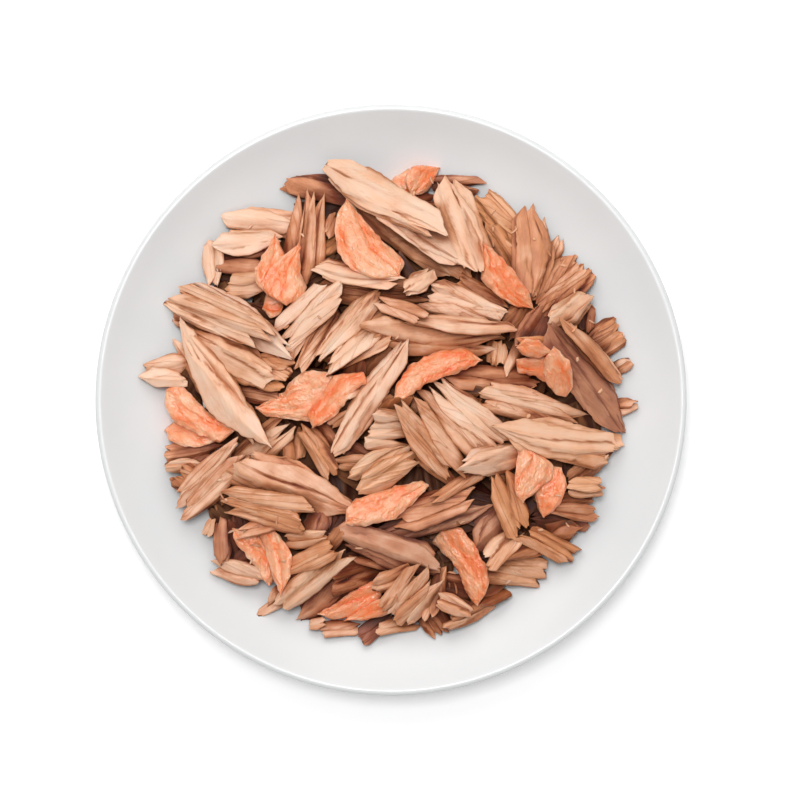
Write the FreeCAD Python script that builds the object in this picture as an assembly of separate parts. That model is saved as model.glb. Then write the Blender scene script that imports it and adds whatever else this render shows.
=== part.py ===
"""Plate of flaked tuna topped with salmon pieces, as three kinds of solid.

Millimetres, +Z up. The origin is the centre of the foot ring on the table plane, so the plate
stands on z = 0 and every piece of food lies above it.

  plate        a round coupe plate: flat well, arc wall, flared rim, rounded lip and a foot ring
  tuna_heap    the heap of flakes as one solid: a low faceted core with bundles of splintered
               flakes bedded in it, all the way out to their uneven tips
  salmon_NN    the larger torn salmon flakes, each bedded in its own pocket of the heap
"""

import FreeCAD
import Part
import math
import os
import random

from FreeCAD import Vector

# --- plate ---------------------------------------------------------------------------------
PLATE_RADIUS = 100.0
RIM_WIDTH = 8.0            # flared part, from the steepest slope out to the lip's edge
WELL_RADIUS = 62.0         # flat part of the eating surface
WALL_SLOPE = 38.0          # steepest slope, degrees
RIM_SLOPE = 12.0           # slope left at the lip, degrees
PLATE_THICKNESS = 3.8
FOOT_HEIGHT = 2.8
FOOT_INSET = 6.0           # from the well's edge in to the outer edge of the foot's flat face
FOOT_FACE_WIDTH = 2.4
FOOT_DRAFT = 1.2           # how far each side of the foot spreads on its way up

# --- heap ----------------------------------------------------------------------------------
BARE_RING = 24.0           # from the heap's mean outline out to the plate's edge
HEAP_HEIGHT = 21.0         # top of the heap's envelope above the well
HEAP_FLATNESS = 2.4        # exponent of the mound's profile: higher is flatter on top
OUTLINE_WAVES = ((2, 0.02, 0.4), (3, 0.025, 2.0), (5, 0.02, 4.1))   # number, depth, phase
CORE_RINGS = 4
CORE_SECTORS = 18
CORE_DEPTH = 2.8           # how far the core lies below the envelope
CORE_INSET = 5.0           # how far the core stays inside the outline, where only tips reach
CORE_EDGE = 1.0            # least thickness of the core, at its edge
BASE_INSET = 3.0           # how far the core's flat base stays inside the well's edge
BASE_SHARE = 0.9           # of the core's reach that its base takes up at most
SLOPE_REACH = 4.0          # to each side of a point, when the heap's slope is read there

# --- tuna flakes ---------------------------------------------------------------------------
FLAKE_LENGTH = 37.0
FLAKE_WIDTH = 14.0
FLAKE_THICKNESS = 5.5
FLAKE_VARIATION = 0.25     # share by which one flake's sizes may differ from these
FLAKE_SPACING = 20.0       # between flakes along a ring
RING_SPACING = 14.5
EDGE_SWING = 50.0          # how far the outermost flakes turn from the tangent, degrees
PLACE_SWING = 2.0          # how far a flake may lie off its ring
TURN_SWING = 0.25          # and off its even place round the ring, as a share of the spacing
SPLINTER_STEP = 0.2        # how far each splinter is set back, as a share of its length
SPLINTER_PITCH = 0.85      # between splinters side by side, as a share of their even spacing
SPLINTER_GIRTH = 1.2       # of a splinter's width to that spacing, so neighbours overlap
BLUNT_END = (0.35, 0.65)   # range of the share of a splinter's girth left at its torn end
FINE_END = (0.15, 0.35)    # and at its narrow end
WIDEST_AT = 0.35           # along a splinter
RIDGE_SWING = 0.6          # how far off the middle the ridge runs, as a share of the half-width
LENGTH_RANGE = (0.8, 1.0)  # of a splinter's length as a share of its flake's
THICK_RANGE = (0.8, 1.1)   # of its thickness
THIN_SHARE = 0.4           # of the thickness that a splinter would keep where it has no girth
SPLINTER_COUNTS = (1, 1, 2, 2, 3)   # how many make a flake, by how common each is
BED_REACH = 4.0            # of the splinter under a salmon piece, outwards past its middle
SALMON_CLEAR = 0.24        # of a flake's length, from a salmon piece's middle to a flake's
SEED = 4

# --- salmon pieces -------------------------------------------------------------------------
SALMON_THICKNESS = 5.0
SALMON_SIDES = 6
SALMON_STATIONS = 8
SALMON_LIFT = 1.2          # middle of a piece above the heap's envelope
SALMON_ROUGHNESS = 0.12    # share by which the torn surface swells and sinks
SALMON_TIP = 0.3           # share of the full girth left at each end
SALMON_FULLNESS = 0.8      # exponent of the lens outline: lower is fuller
# Distance from the axis as a share of the heap's outline, direction and heading in degrees,
# length, width, sideways bend, place of the widest part (0 to 1)
SALMON = (
    (0.97, 84.0, 24.0, 20.0, 10.0, 1.0, 0.60),
    (0.69, 100.0, -48.0, 31.0, 15.5, -2.0, 0.60),
    (0.77, 132.0, -84.0, 29.0, 16.0, 1.5, 0.50),
    (0.86, -175.0, -34.0, 27.0, 15.0, -1.0, 0.40),
    (0.35, 178.0, 18.0, 38.0, 15.0, 0.0, 0.45),
    (0.24, 33.0, 26.0, 32.0, 9.5, 2.5, 0.50),
    (0.75, 46.0, -50.0, 28.5, 10.5, -0.5, 0.45),
    (0.70, 12.0, -30.0, 23.5, 12.5, 1.5, 0.60),
    (0.69, -29.0, -96.0, 19.5, 11.5, 0.0, 0.45),
    (0.80, -30.0, -116.0, 17.5, 7.5, 0.5, 0.45),
    (0.49, -92.0, 18.0, 29.5, 10.0, 0.5, 0.45),
    (0.88, -129.0, -55.0, 27.5, 13.0, 1.0, 0.45),
    (0.80, -66.0, -58.0, 29.5, 10.5, 1.5, 0.45),
    (0.98, -99.0, 18.0, 27.0, 11.0, 1.0, 0.60),
)

# --- clearances ----------------------------------------------------------------------------
BEDDING_GAP = 0.3          # food above the plate's curved wall


def slope_arc(start, radius, from_deg, to_deg):
    """Arc that leaves start at slope from_deg and ends at slope to_deg, in the XZ plane.

    A larger to_deg bends it up and a smaller one bends it down.
    """
    side = 1.0 if to_deg > from_deg else -1.0

    def at(deg):
        turned, began = math.radians(deg), math.radians(from_deg)
        return start + Vector(
            side * radius * (math.sin(turned) - math.sin(began)),
            0,
            side * radius * (math.cos(began) - math.cos(turned)),
        )

    return Part.Arc(start, at((from_deg + to_deg) / 2), at(to_deg)).toShape(), at(to_deg)


def rim_start():
    """Distance from the axis at which the wall ends and the rim starts to flare."""
    return PLATE_RADIUS - RIM_WIDTH


def wall_radius():
    """Radius of the wall's hollow arc, which takes the well up to its steepest slope."""
    return (rim_start() - WELL_RADIUS) / math.sin(math.radians(WALL_SLOPE))


def rim_radius():
    """Radius of the rim's flaring arc, which ends where the rounded lip starts."""
    steep, flat = math.radians(WALL_SLOPE), math.radians(RIM_SLOPE)
    lip = PLATE_THICKNESS / 2
    reach = RIM_WIDTH - lip - lip * math.sin(flat)
    return reach / (math.sin(steep) - math.sin(flat))


def well_level():
    return FOOT_HEIGHT + PLATE_THICKNESS


def plate_level(distance):
    """Height of the eating surface at a distance from the axis, over well, wall and rim."""
    if distance <= WELL_RADIUS:
        return well_level()
    steep, hollow, flare = math.radians(WALL_SLOPE), wall_radius(), rim_radius()
    if distance <= rim_start():
        return well_level() + hollow - math.sqrt(hollow**2 - (distance - WELL_RADIUS) ** 2)
    crown = well_level() + hollow * (1 - math.cos(steep)) - flare * math.cos(steep)
    off = rim_start() + flare * math.sin(steep) - distance
    return crown + math.sqrt(flare**2 - off**2)


def make_plate():
    """Revolved section: the underside's arcs share their centres with those above them."""
    thick = PLATE_THICKNESS
    well_end = Vector(WELL_RADIUS, 0, well_level())
    hollow, steepest = slope_arc(well_end, wall_radius(), 0, WALL_SLOPE)
    flare, lip_top = slope_arc(steepest, rim_radius(), WALL_SLOPE, RIM_SLOPE)

    under_end = Vector(WELL_RADIUS, 0, FOOT_HEIGHT)
    under_hollow, under_steepest = slope_arc(under_end, wall_radius() + thick, 0, WALL_SLOPE)
    under_flare, lip_bottom = slope_arc(
        under_steepest, rim_radius() - thick, WALL_SLOPE, RIM_SLOPE
    )
    tilt = math.radians(RIM_SLOPE)
    lip_middle = (lip_top + lip_bottom) * 0.5
    lip_tip = lip_middle + Vector(math.cos(tilt), 0, math.sin(tilt)) * (thick / 2)
    lip = Part.Arc(lip_top, lip_tip, lip_bottom).toShape()

    foot_outer = WELL_RADIUS - FOOT_INSET
    foot_inner = foot_outer - FOOT_FACE_WIDTH
    corners = [
        under_end,
        Vector(foot_outer + FOOT_DRAFT, 0, FOOT_HEIGHT),
        Vector(foot_outer, 0, 0),
        Vector(foot_inner, 0, 0),
        Vector(foot_inner - FOOT_DRAFT, 0, FOOT_HEIGHT),
        Vector(0, 0, FOOT_HEIGHT),
        Vector(0, 0, well_level()),
        well_end,
    ]
    edges = [Part.makeLine(a, b) for a, b in zip(corners, corners[1:])]
    edges += [hollow, flare, lip, under_flare, under_hollow]
    outline = Part.Wire(Part.__sortEdges__(edges))
    return Part.Face(outline).revolve(Vector(0, 0, 0), Vector(0, 0, 1), 360)


def skin(rings):
    """Closed solid of flat triangles over rings of points, each ring with the same count."""
    sides = len(rings[0])
    points = [p for ring in rings for p in ring]
    points += [sum(ring, Vector()) * (1 / sides) for ring in (rings[0], rings[-1])]
    first, last = len(points) - 2, len(points) - 1
    facets = []
    for k in range(len(rings) - 1):
        for i in range(sides):
            a, b = k * sides + i, k * sides + (i + 1) % sides
            facets += [(a, b, b + sides), (a, b + sides, a + sides)]
    top = (len(rings) - 1) * sides
    for i in range(sides):
        j = (i + 1) % sides
        facets += [(first, j, i), (last, top + i, top + j)]
    shell = Part.Shape()
    shell.makeShapeFromMesh((points, facets), 1e-4)
    solid = Part.Solid(shell.removeSplitter())
    if solid.Volume < 0:
        solid.reverse()
    return solid


def mean_reach():
    """Mean radius of the heap's outline."""
    return PLATE_RADIUS - BARE_RING


def heap_reach(angle):
    """Radius of the heap's uneven outline in a direction."""
    waves = sum(depth * math.cos(n * angle + phase) for n, depth, phase in OUTLINE_WAVES)
    return mean_reach() * (1 + waves)


def heap_level(x, y):
    """Height of the heap's smooth envelope over a point."""
    share = min(1.0, math.hypot(x, y) / heap_reach(math.atan2(y, x)))
    return well_level() + HEAP_HEIGHT * (1 - share**HEAP_FLATNESS)


def core_ring(reach, level):
    """Ring round the axis, at the distance that reach gives and the height that level gives."""
    ring = []
    for i in range(CORE_SECTORS):
        angle = 2 * math.pi * i / CORE_SECTORS
        x, y = reach(angle) * math.cos(angle), reach(angle) * math.sin(angle)
        ring.append(Vector(x, y, level(x, y)))
    return ring


def make_core():
    """Low faceted mound that carries the flakes: flat on the well and just clear of the wall."""

    def edge(angle):
        return heap_reach(angle) - CORE_INSET

    def base(angle):
        return min(WELL_RADIUS - BASE_INSET, BASE_SHARE * edge(angle))

    def bedded(x, y):
        return plate_level(math.hypot(x, y)) + BEDDING_GAP

    def top(x, y):
        return max(bedded(x, y) + CORE_EDGE, heap_level(x, y) - CORE_DEPTH)

    rings = [core_ring(base, lambda x, y: well_level()), core_ring(edge, bedded)]
    for k in range(CORE_RINGS):
        share = 1 - k / CORE_RINGS
        rings.append(core_ring(lambda angle: share * edge(angle), top))
    return skin(rings)


def layer_level(x, y):
    """Height halfway from the plate to the envelope, whose slopes the flakes lie at."""
    return (plate_level(math.hypot(x, y)) + heap_level(x, y)) / 2


def heading_frame(x, y, heading):
    """Directions along, across and up for a piece that lies in the heap at a point."""
    span = 2 * SLOPE_REACH
    rise_x = (layer_level(x + SLOPE_REACH, y) - layer_level(x - SLOPE_REACH, y)) / span
    rise_y = (layer_level(x, y + SLOPE_REACH) - layer_level(x, y - SLOPE_REACH)) / span
    up = Vector(-rise_x, -rise_y, 1).normalize()
    along = Vector(math.cos(heading), math.sin(heading), 0)
    along = (along - up * along.dot(up)).normalize()
    return along, up.cross(along), up


def lay(rings, x, y, z, heading):
    """Moves rings from a piece's own frame onto the heap, then up until they clear the plate."""
    along, across, up = heading_frame(x, y, heading)
    middle = Vector(x, y, z)
    placed = [[middle + along * p.x + across * p.y + up * p.z for p in ring] for ring in rings]
    sunk = max(
        plate_level(math.hypot(p.x, p.y)) + BEDDING_GAP - p.z for ring in placed for p in ring
    )
    lift = Vector(0, 0, max(0.0, sunk))
    return [[p + lift for p in ring] for ring in placed]


def splinter(rng, length, width, thickness, offset, side):
    """Rings of one long splinter: torn blunt at one end, narrow at the other, with a ridge."""
    ridge_start = rng.uniform(-RIDGE_SWING, RIDGE_SWING)
    ridge_end = rng.uniform(-RIDGE_SWING, RIDGE_SWING)
    stations = ((0.0, rng.uniform(*BLUNT_END)), (WIDEST_AT, 1.0), (1.0, rng.uniform(*FINE_END)))
    rings = []
    for share, girth in stations:
        half, thick = width * girth / 2, thickness * (THIN_SHARE + (1 - THIN_SHARE) * girth)
        ridge = half * (ridge_start + (ridge_end - ridge_start) * share)
        along = (share - 0.5) * length + offset
        rings.append(
            [
                Vector(along, side - half, 0),
                Vector(along, side, -thick / 2),
                Vector(along, side + half, 0),
                Vector(along, side + ridge, thick / 2),
            ]
        )
    return rings


def flake(rng, x, y, level, heading, count):
    """A bundle of splinters side by side, each set back from the last, with its top at level."""

    def vary(size):
        return size * (1 + rng.uniform(-FLAKE_VARIATION, FLAKE_VARIATION))

    length, width, thickness = vary(FLAKE_LENGTH), vary(FLAKE_WIDTH), vary(FLAKE_THICKNESS)
    strip = width / count
    made = []
    for i in range(count):
        offset = (i - (count - 1) / 2) * SPLINTER_STEP * length
        side = (i - (count - 1) / 2) * strip * SPLINTER_PITCH
        thick = thickness * rng.uniform(*THICK_RANGE)
        long, wide = length * rng.uniform(*LENGTH_RANGE), strip * SPLINTER_GIRTH
        rings = splinter(rng, long, wide, thick, offset, side)
        made.append(skin(lay(rings, x, y, level - thickness / 2, heading)))
    return made


def make_beds(rng, salmon):
    """A splinter under each salmon piece that runs inwards, as high as the piece came to lie."""
    made, shift = [], FLAKE_LENGTH / 2 - BED_REACH
    for piece in salmon:
        middle = piece.CenterOfMass
        inwards = math.atan2(-middle.y, -middle.x)
        rings = splinter(rng, FLAKE_LENGTH, FLAKE_WIDTH, FLAKE_THICKNESS, shift, 0)
        level = middle.z - SALMON_LIFT - FLAKE_THICKNESS / 2
        made.append(skin(lay(rings, middle.x, middle.y, level, inwards)))
    return made


def make_flakes(rng, salmon):
    """Rings of flakes from the edge to the top, but none with its middle under a salmon piece."""
    made, ring = [], mean_reach() - FLAKE_WIDTH
    while ring > 0:
        count = max(1, round(2 * math.pi * ring / FLAKE_SPACING))
        for i in range(count):
            angle = 2 * math.pi * (i + rng.uniform(-TURN_SWING, TURN_SWING)) / count
            share = ring / mean_reach()
            reach = share * heap_reach(angle) + rng.uniform(-PLACE_SWING, PLACE_SWING)
            x, y = reach * math.cos(angle), reach * math.sin(angle)
            swing = EDGE_SWING if ring > mean_reach() - RING_SPACING else 90.0
            heading = angle + math.radians(90 + rng.uniform(-swing, swing))
            pieces = flake(rng, x, y, heap_level(x, y), heading, rng.choice(SPLINTER_COUNTS))
            clear = SALMON_CLEAR * FLAKE_LENGTH
            if all(math.dist((x, y), piece.CenterOfMass[:2]) > clear for piece in salmon):
                made += pieces
        ring -= RING_SPACING
    return made


def salmon_place(reach, direction):
    """Where the middle of a salmon piece lies."""
    angle = math.radians(direction)
    distance = reach * heap_reach(angle)
    return distance * math.cos(angle), distance * math.sin(angle)


def make_salmon(number, row):
    """Torn flake: a lens outline along its length, thick in the middle and thin at its edges."""
    reach, direction, heading, length, width, bend, widest = row
    rng = random.Random(number)
    rings = []
    for k in range(SALMON_STATIONS):
        share = k / (SALMON_STATIONS - 1)
        warped = share ** (math.log(0.5) / math.log(widest))
        girth = SALMON_TIP + (1 - SALMON_TIP) * math.sin(math.pi * warped) ** SALMON_FULLNESS
        middle = bend * math.sin(math.pi * share)
        thick = SALMON_THICKNESS * (SALMON_TIP + (1 - SALMON_TIP) * girth)
        ring = []
        for i in range(SALMON_SIDES):
            turn = 2 * math.pi * i / SALMON_SIDES
            rough = 1 + rng.uniform(-SALMON_ROUGHNESS, SALMON_ROUGHNESS)
            across = middle + math.cos(turn) * width / 2 * girth * rough
            ring.append(
                Vector((share - 0.5) * length, across, math.sin(turn) * thick / 2 * rough)
            )
        rings.append(ring)
    x, y = salmon_place(reach, direction)
    level = heap_level(x, y) + SALMON_LIFT
    return skin(lay(rings, x, y, level, math.radians(heading)))


def make_heap(salmon):
    """Core and flakes as one solid, with a pocket for each salmon piece."""
    rng = random.Random(SEED)
    flakes = make_beds(rng, salmon) + make_flakes(rng, salmon)
    heap = make_core().fuse(flakes).cut(salmon)
    return max(heap.Solids, key=lambda solid: solid.Volume)


def export(name, shape):
    """Writes one sub-part, after checking that it is one closed solid."""
    assert shape.isValid() and len(shape.Solids) == 1, name
    shape.exportStep("parts/%s.step" % name)
    print("%-10s %8.2f cm3, %d faces" % (name, shape.Volume / 1000, len(shape.Faces)))


def main():
    os.makedirs("parts", exist_ok=True)
    export("plate", make_plate())
    salmon = [make_salmon(number, row) for number, row in enumerate(SALMON, 1)]
    for number, piece in enumerate(salmon, 1):
        export("salmon_%02d" % number, piece)
    export("tuna_heap", make_heap(salmon))


main()
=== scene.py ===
"""Looks of the plate of flaked fish: a glazed plate, tuna flakes over a core coloured dark as
painted shade, and salmon.

A new plate has the wall and lip that the photograph shows. The heap is made of single flakes,
each a bundle of torn splinters that is laid on what lies under it, from the bottom up. Sizes
are in millimetres, and turn into metres where a mesh is made.
"""

import math

import bpy
import numpy as np
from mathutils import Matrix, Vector


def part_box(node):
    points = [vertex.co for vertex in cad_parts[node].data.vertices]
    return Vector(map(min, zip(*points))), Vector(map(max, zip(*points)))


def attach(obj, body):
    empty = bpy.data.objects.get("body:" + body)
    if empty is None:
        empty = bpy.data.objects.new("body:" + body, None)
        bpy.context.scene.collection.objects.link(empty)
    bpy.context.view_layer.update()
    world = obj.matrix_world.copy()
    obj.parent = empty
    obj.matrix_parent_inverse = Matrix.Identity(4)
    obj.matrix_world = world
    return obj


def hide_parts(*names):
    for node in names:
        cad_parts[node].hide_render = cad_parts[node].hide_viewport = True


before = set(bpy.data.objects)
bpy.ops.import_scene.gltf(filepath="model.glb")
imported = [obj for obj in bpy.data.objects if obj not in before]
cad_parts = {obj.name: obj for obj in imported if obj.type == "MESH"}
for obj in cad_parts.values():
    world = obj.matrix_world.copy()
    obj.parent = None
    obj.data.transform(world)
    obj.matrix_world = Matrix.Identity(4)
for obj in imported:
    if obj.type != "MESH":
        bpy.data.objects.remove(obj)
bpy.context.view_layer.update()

MM = 0.001

# --- shape of the plate, mm -----------------------------------------
PLATE_RADIUS = 100.0
WELL_RADIUS = 62.0         # where the wall begins
STEEP_RADIUS = 94.0        # from where it rises no more steeply
STEEPEST = 34.0            # of the wall, in degrees
WELL_LEVEL = 6.6           # of the well's upper side
PLATE_THICKNESS = 3.8
LIP_RADIUS = 1.5           # of the rounded lip
FOOT_HEIGHT = 2.8
FOOT_RADIUS = 56.0         # outside of the foot ring
FOOT_FACE = 2.4            # across what it stands on
FOOT_ROUND = 0.5
# Either side of the foot from the top down: how far out from its face's edge, and the height.
FOOT_SIDE = (
    (1.2, FOOT_HEIGHT), (0.5, FOOT_HEIGHT - 0.4), (0.1, FOOT_ROUND), (-0.15, 0.15),
    (-FOOT_ROUND, 0.0),
)
WALL_STEP = 1.5            # between the rings of the wall
PLATE_SEGMENTS = 288
RADII = np.arange(99)      # at which the heap knows the plate's level

# --- shape of the flakes, mm ----------------------------------------
STATION_STEP = 1.0         # between stations along a splinter
ACROSS_STEP = 0.5          # between points across it
RIDGE_HEIGHT = 2.3         # of the blunt ridge along a splinter, at most
STEP_SPACING = 3.4         # of the small steps that run along a splinter
STEP_RUN = 1.2             # over which such a step goes down
STEP_DEPTH = (0.3, 0.9)
TORN_REACH = 1.1           # how far the torn ends reach in and out
EDGE_WAVER = 0.05          # of a splinter's sides, as a share of its half-width
MOST_SLANT = 0.9           # of its ends, as the tangent of the angle
DIP_FROM, DIP_RANGE = 0.08, 0.25     # depth below what is round it where a dip gets painted shade, darker
LIFT_FROM, LIFT_RANGE = 0.06, 0.25   # height above it where a ridge gets a painted highlight, paler
STRIP_WIDTH = 2.9          # of one splinter in a bundle
LONE_THICK, STRIP_THICK = (3.4, 4.4), (2.8, 3.8)   # of a lone splinter and of one of several
FILLET_STEP = 0.5          # between the points of a salmon piece
SOFTENED = 3               # stations over which the corners of its outline are rounded
FOLD_SPACING = 5.5         # of the creases in salmon
FOLD_DEPTH = (0.25, 0.75)
CROWN = 2.0                # height of a salmon piece's middle in its own frame
EDGE_DROP = 1.2            # from its middle to its edge
SALMON_SINK = 0.6          # how far it settles into the flakes
LOW_DETAIL = 1.8           # how much coarser the buried flakes are
HEAP_INSET = 6.0           # of the flakes' middles inside the CAD heap's outline
CORE_INSET = 12.0          # of the core, painted dark as shade, inside that
CORE_HEIGHT = 8.0          # of the core, above the well
CORE_STEP = 1.5
CORE_SECTORS = 120
BURIED_RING = 10.0         # between the rings of buried flakes
BURIED_SPACING = 13.0      # between them round a ring
CRUMBS = 45                # loose shreds and crumbs
SHRED, CRUMB = ((1.5, 3.5), (0.4, 0.7)), ((1.0, 2.0), (0.7, 1.2))   # length and width of each
CORE_SEED, HEAP_SEED = 3, 11
GRID_REACH = 96.0          # of the grid that holds how high the heap has grown
CELL = 1.0                 # of that grid
SETTLED = 82               # per cent of a flake's foot that stays clear of what it lies on
HOLLOW_REACH = 3           # cells to each side that count as round a point
HOLLOW_DEPTH = 3.5         # at which a point gets the most painted shade, as dark as can be
MOST_SLOPE = 0.42          # of a flake along its length
MOST_ROLL = 0.38           # of a flake across its width
SHARP_ANGLE = 38           # degrees between faces where the shading breaks

# Tuna flakes: x, y, heading in degrees, length, width, kind and any tone but mid, from the
# bottom up.
LOW = (
    (-43.5, 60.8, -8, 26, 7.5, "blade"), (-51, 45.5, -8, 18, 6, "blade", "brown"),
    (-60.5, 45.5, 98, 16, 6, "pair"), (-49, 38.5, 0, 13, 7, "pair", "amber"),
    (-70, 27, -25, 10, 5, "pair"), (-22, 71.5, -14, 30, 8, "blade", "brown"),
    (23, 73, 1, 20, 5, "pair", "brown"), (11, 67, 10, 10, 5, "pair"),
    (21, 50, -75, 18, 6, "blade", "brown"), (30, 35.5, -35, 20, 6, "pair"),
    (-22, 51.5, 40, 12, 5, "pair", "amber"), (-20, 59, 60, 9, 4, "pair"),
    (-6, 61, -42, 16, 4, "pair"), (37, 52, -50, 18, 6, "chunk", "amber"),
    (56, 51.5, 60, 9, 4, "pair"), (66, 28, 80, 11, 5, "pair", "brown"),
    (72, 20.5, 30, 14, 9, "chunk"), (42, 27, 62, 15, 7, "pair"),
    (43, 17, 66, 20, 4, "blade"), (35.5, 15.5, 80, 8, 5, "chunk", "amber"),
    (67, -22.5, 35, 22, 6, "pair"), (80, -2, 10, 8, 5, "pair"),
    (78, 11, 30, 8, 4, "pair"), (-77.5, 10, -5, 16, 9, "pair"),
    (-46, 3, -20, 15, 6, "chunk", "brown"), (-42, 6, -5, 13, 5, "pair", "amber"),
    (-39, 12, -30, 12, 6, "chunk"), (-67, -18, 12, 23, 8, "comb"),
    (-70, -22.5, 4, 14, 4, "pair"), (-68, -27, -40, 9, 7, "chunk", "brown"),
    (0, -10, -5, 16, 12, "comb"), (-12, -18, -30, 16, 6, "pair"),
    (-12, -21, -5, 18, 4, "pair"), (-32, -15, -80, 12, 7, "pair"),
    (-17, -6, 40, 9, 3, "pair"), (-7, 14, 57, 14, 7, "pair"),
    (-12, 11, 75, 10, 6, "pair", "brown"), (-11, 3.5, 20, 10, 3, "pair"),
    (-20, -43.5, 52, 14, 6, "pair", "brown"), (-25, -41, 70, 12, 8, "blade", "brown"),
    (-51, -47, -75, 18, 9, "pair", "brown"), (-47, -55, 30, 18, 9, "pair", "brown"),
    (-53, -58, -6, 20, 7, "pair"), (-57.5, -48, -85, 15, 5, "blade", "brown"),
    (-61.5, -43, 62, 8, 3, "pair"), (-23, -68, 36, 21, 7, "blade", "brown"),
    (-17, -77.5, 8, 15, 4.5, "pair"), (-25, -76, 15, 6, 3, "pair"),
    (-5, -77, 35, 15, 5, "pair", "brown"), (3, -76.5, 12, 16, 4, "pair"),
    (13.5, -76, -57, 12, 5, "pair"), (17.5, -74.5, -60, 12, 4, "pair"),
    (22, -64, -6, 16, 8, "pair", "brown"), (25, -70, -8, 14, 4, "pair"),
    (28, -72, 18, 20, 5, "pair"), (33.5, -66, 30, 12, 6, "pair", "brown"),
    (42, -58, -4, 21, 9, "blunt"), (33.5, -43.5, 55, 18, 10, "blade", "mauve"),
    (38, -28, -65, 12, 5, "pair"), (56, -41, -3, 19, 6, "blade", "mauve"),
    (63, -33.5, -2, 16, 4, "pair"), (61, -37.5, -2, 18, 5, "pair"),
    (66.5, -30, -4, 14, 5, "pair"), (65, -28.5, 5, 12, 4, "pair", "amber"),
    (58, -45, 15, 12, 7, "blade", "brown"), (45, -51, 8, 14, 4, "blade", "brown"),
    (-11, -57, 20, 24, 10, "pair", "brown"), (50, 25, 62, 24, 9, "pair", "brown"),
)
MIDDLE = (
    (-48, 53, 4, 22, 8, "blade", "pale"), (-28.5, 56, 84, 33, 12, "comb"),
    (6.5, 55, -39, 50, 10, "blade"), (-6, 37.5, -8, 40, 9, "bundle"),
    (24, 31, -24, 30, 10, "bundle"), (9.5, 39.5, 40, 11, 6, "blade"),
    (36.5, 62, -43, 22, 8, "chunk", "amber"), (57, 38.5, 52, 23, 12, "chunk"),
    (61, 30, 33, 17, 8, "blade", "pale"), (34, 6.5, -6, 30, 8, "blade"),
    (49, -3, -9, 41, 9, "bundle"), (26, -13.5, -12, 18, 6, "pair"),
    (23, -5.5, -34, 38, 14, "bundle"), (16, -24, -38, 22, 4, "pair"),
    (-13, 16, 28, 26, 6, "pair"), (-26, 21, 54, 29, 8, "bundle"),
    (-13, 22, 38, 32, 12, "bundle"), (-28, 28.5, 37, 30, 9, "bundle"),
    (-55, 16, -28, 33, 11, "blade"), (-44, -16, 33, 28, 8, "bundle"),
    (-60.5, -26.5, 38, 33, 11, "bundle"), (12, -41.5, 14, 42, 6, "blade", "mauve"),
    (14, -35, 27, 33, 9, "bundle"), (22, -28.5, 25, 26, 4, "pair"),
    (33, -20.5, 12, 24, 8, "blade", "pale"), (-1.5, -22.5, 32, 26, 10, "bundle", "amber"),
    (-22, -12, -55, 12, 5, "pair"), (-25.5, -16.5, -48, 23, 6, "pair"),
    (-29, -46.5, 14, 16, 5, "pair"), (-20.5, -48.5, 44, 14, 4, "pair"),
    (-32, -61, 37, 34, 6, "pair"), (-26, -60.5, 32, 34, 7, "pair"),
    (-26, -53, 32, 20, 6, "pair"), (-5, -54, -12, 20, 4, "pair", "brown"),
    (14.5, -65, 68, 20, 5, "pair"), (21.5, -69.5, -28, 14, 5, "pair"),
    (38, -48.5, 38, 18, 7, "pair"), (40, -34.5, -62, 23, 8, "bundle", "amber"),
    (53, -49, -30, 20, 7, "blunt"), (49, 18.5, -12, 16, 5, "pair", "amber"),
)
TOP = (
    (-50, 27, -38, 42, 9, "blade", "pale"), (-58, 27.5, -32, 43, 10, "bundle", "pale"),
    (8, 57.5, -38, 40, 8, "blade"), (0, 66, 147, 47, 12, "blade", "pale"),
    (24, 57.5, -73, 34, 12, "blade"), (-12, 42, -9, 30, 6, "blade"),
    (48, 50, 88, 30, 12, "blade"), (15, 21, -6, 46, 11, "crescent"),
    (22.5, 25, -6, 37, 5, "blade", "pale"), (3, 30.5, -14, 18, 5, "pair"),
    (64, 9, -53, 44, 11, "blade", "mauve"), (68, 16, -45, 30, 5, "blade"),
    (57, -13.7, -11, 42, 11, "blade"), (12.5, -12.5, -48, 33, 9, "bundle"),
    (-58.5, 5, -52, 52, 12, "crescent", "pale"), (-33, -28.5, -24, 43, 13, "blade"),
    (-41, -41.5, 14, 26, 4.5, "pair"), (-44, -37, -4, 34, 10, "bundle"),
    (-1, -50.5, -17, 38, 10, "blade", "mauve"), (2, -60, 25, 16, 6, "pair", "pale"),
    (7, -65.5, 52, 22, 13, "comb"),
)
LAST = ((-7.5, 0, 56, 45, 8, "blade", "pale"),)
# Each layer of flakes with the numbers of the salmon pieces that are laid before it.
LAYERS = (
    ("tuna_low", LOW, ()),
    ("tuna_middle", MIDDLE, ()),
    ("tuna_top", TOP, (1, 4, 12, 10, 9, 14)),
    ("tuna_last", LAST, (2, 3, 5, 6, 7, 8, 11, 13)),
)

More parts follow.
